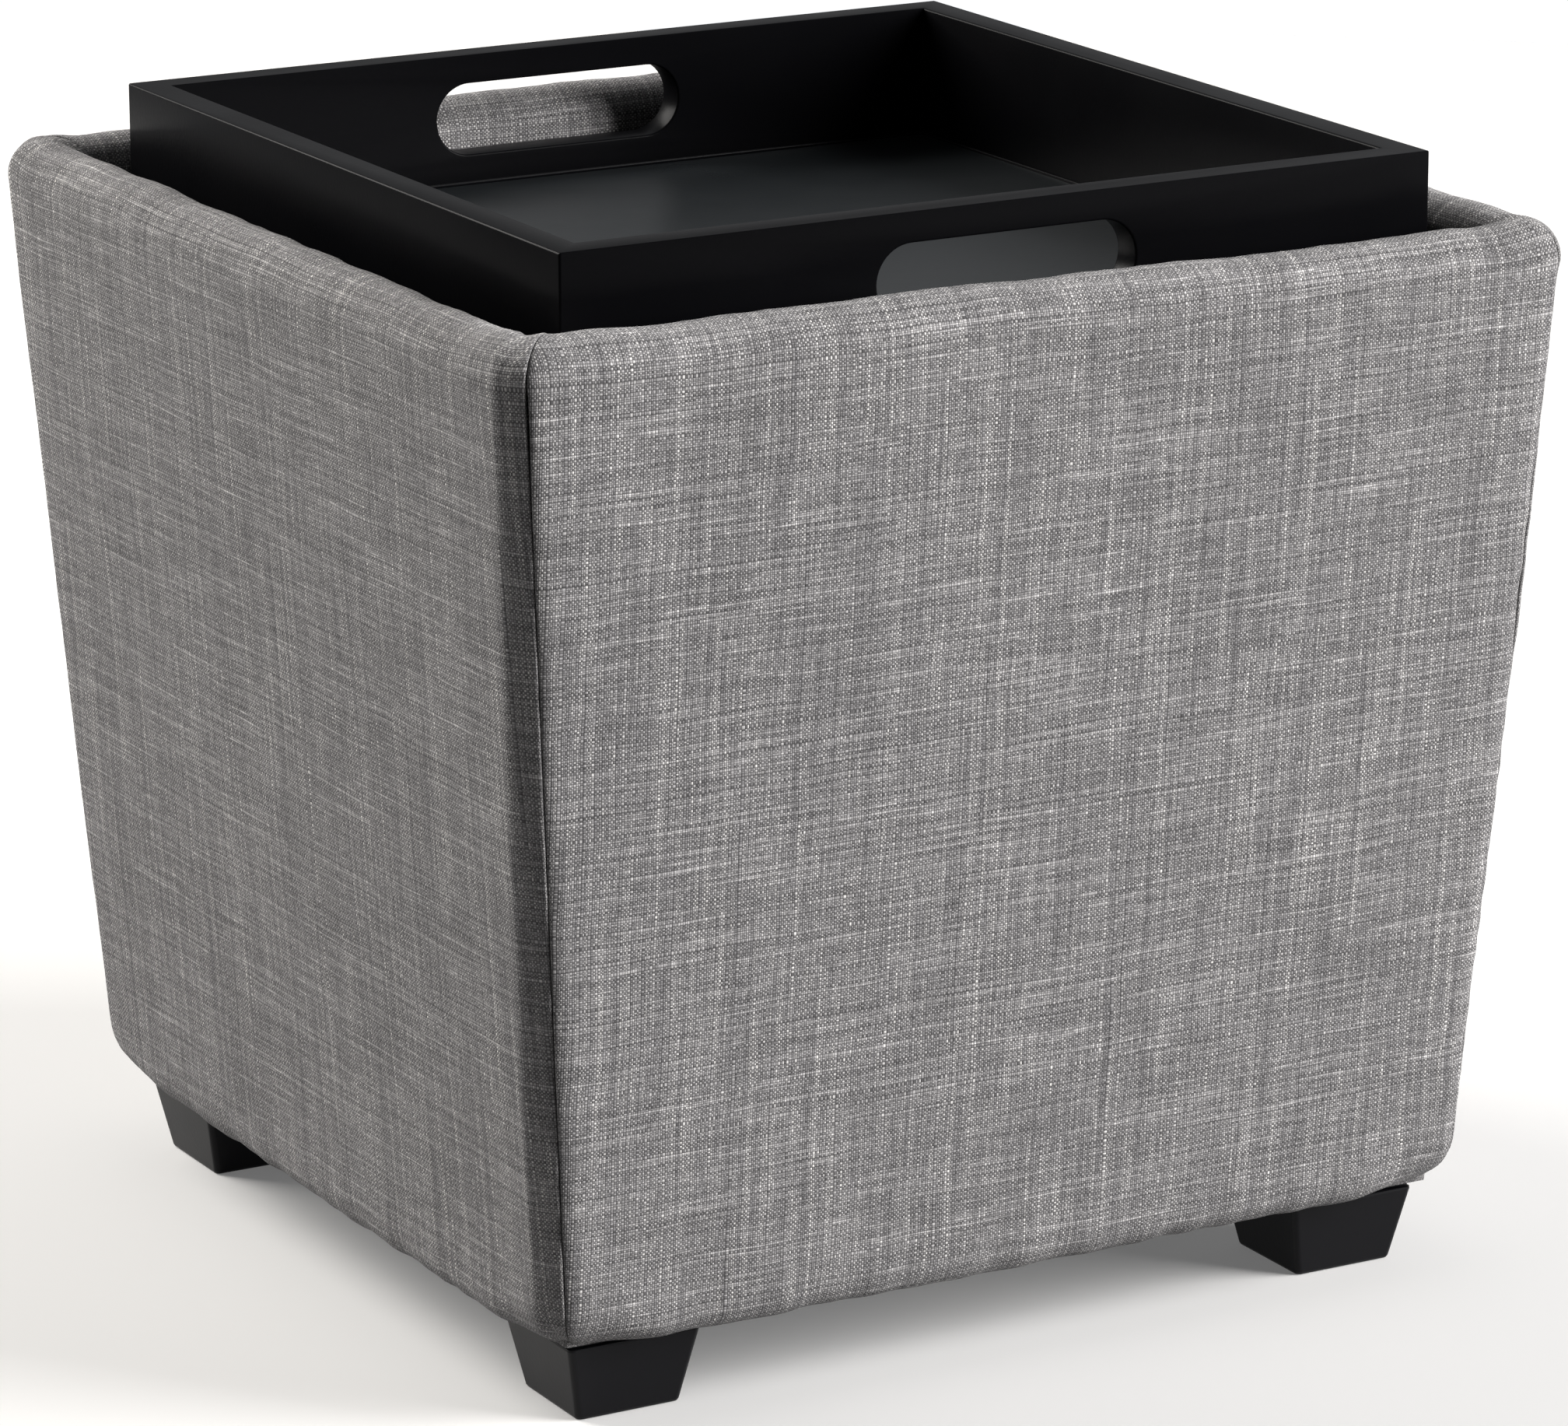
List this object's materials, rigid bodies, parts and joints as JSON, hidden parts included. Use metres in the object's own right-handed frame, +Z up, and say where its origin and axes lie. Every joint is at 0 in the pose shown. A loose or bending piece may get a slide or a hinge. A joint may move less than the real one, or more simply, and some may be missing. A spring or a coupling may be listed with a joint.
{
  "type": "storage ottoman",
  "caption": "Square upholstered storage ottoman that tapers towards short tapered feet, with a lift-off lid: a slotted tray on one face, a cushion on the other.",
  "frame": {"origin": "on the floor under the middle of the box", "axes": "+Z up, -Y towards the front, +X towards the right as seen from the front; the tray's slotted walls face -Y and +Y"},
  "size_m": [0.4502, 0.4502, 0.4417],
  "materials": {
    "linen_fabric": "matte",
    "foam": "matte",
    "fibreboard": "matte",
    "plywood": "matte",
    "black_wood": "satin",
    "black_felt": "matte",
    "black_nonwoven": "matte",
    "zinc_steel": "satin"
  },
  "bodies": {
    "box": {"front_side_board": "fibreboard", "front_foam_pad": "foam", "front_cover": "linen_fabric", "front_ledge": "plywood", "front_ledge_screw_a": "zinc_steel", "front_ledge_screw_b": "zinc_steel", "right_side_board": "fibreboard", "right_foam_pad": "foam", "right_cover": "linen_fabric", "right_ledge": "plywood", "right_ledge_screw_a": "zinc_steel", "right_ledge_screw_b": "zinc_steel", "back_side_board": "fibreboard", "back_foam_pad": "foam", "back_cover": "linen_fabric", "back_ledge": "plywood", "back_ledge_screw_a": "zinc_steel", "back_ledge_screw_b": "zinc_steel", "left_side_board": "fibreboard", "left_foam_pad": "foam", "left_cover": "linen_fabric", "left_ledge": "plywood", "left_ledge_screw_a": "zinc_steel", "left_ledge_screw_b": "zinc_steel", "front_left_corner_block": "plywood", "front_left_tee_nut": "zinc_steel", "front_left_hanger_bolt": "zinc_steel", "front_left_foot": "black_wood", "front_right_corner_block": "plywood", "front_right_tee_nut": "zinc_steel", "front_right_hanger_bolt": "zinc_steel", "front_right_foot": "black_wood", "back_right_corner_block": "plywood", "back_right_tee_nut": "zinc_steel", "back_right_hanger_bolt": "zinc_steel", "back_right_foot": "black_wood", "back_left_corner_block": "plywood", "back_left_tee_nut": "zinc_steel", "back_left_hanger_bolt": "zinc_steel", "back_left_foot": "black_wood", "bottom_board": "plywood", "bottom_lining": "black_felt", "dust_cover": "black_nonwoven"},
    "lid": {"lid_board": "black_wood", "tray_front_wall": "black_wood", "tray_right_wall": "black_wood", "tray_back_wall": "black_wood", "tray_left_wall": "black_wood", "tray_front_screw_a": "zinc_steel", "tray_front_screw_b": "zinc_steel", "tray_back_screw_a": "zinc_steel", "tray_back_screw_b": "zinc_steel", "cushion_cover": "linen_fabric", "cushion_foam": "foam", "cushion_base": "plywood"}
  },
  "joints": [
    {"name": "lid_lift", "type": "slide", "parent": "box", "child": "lid", "axis": [0, 0, 1], "range_m": [0, 0.25]}
  ]
}
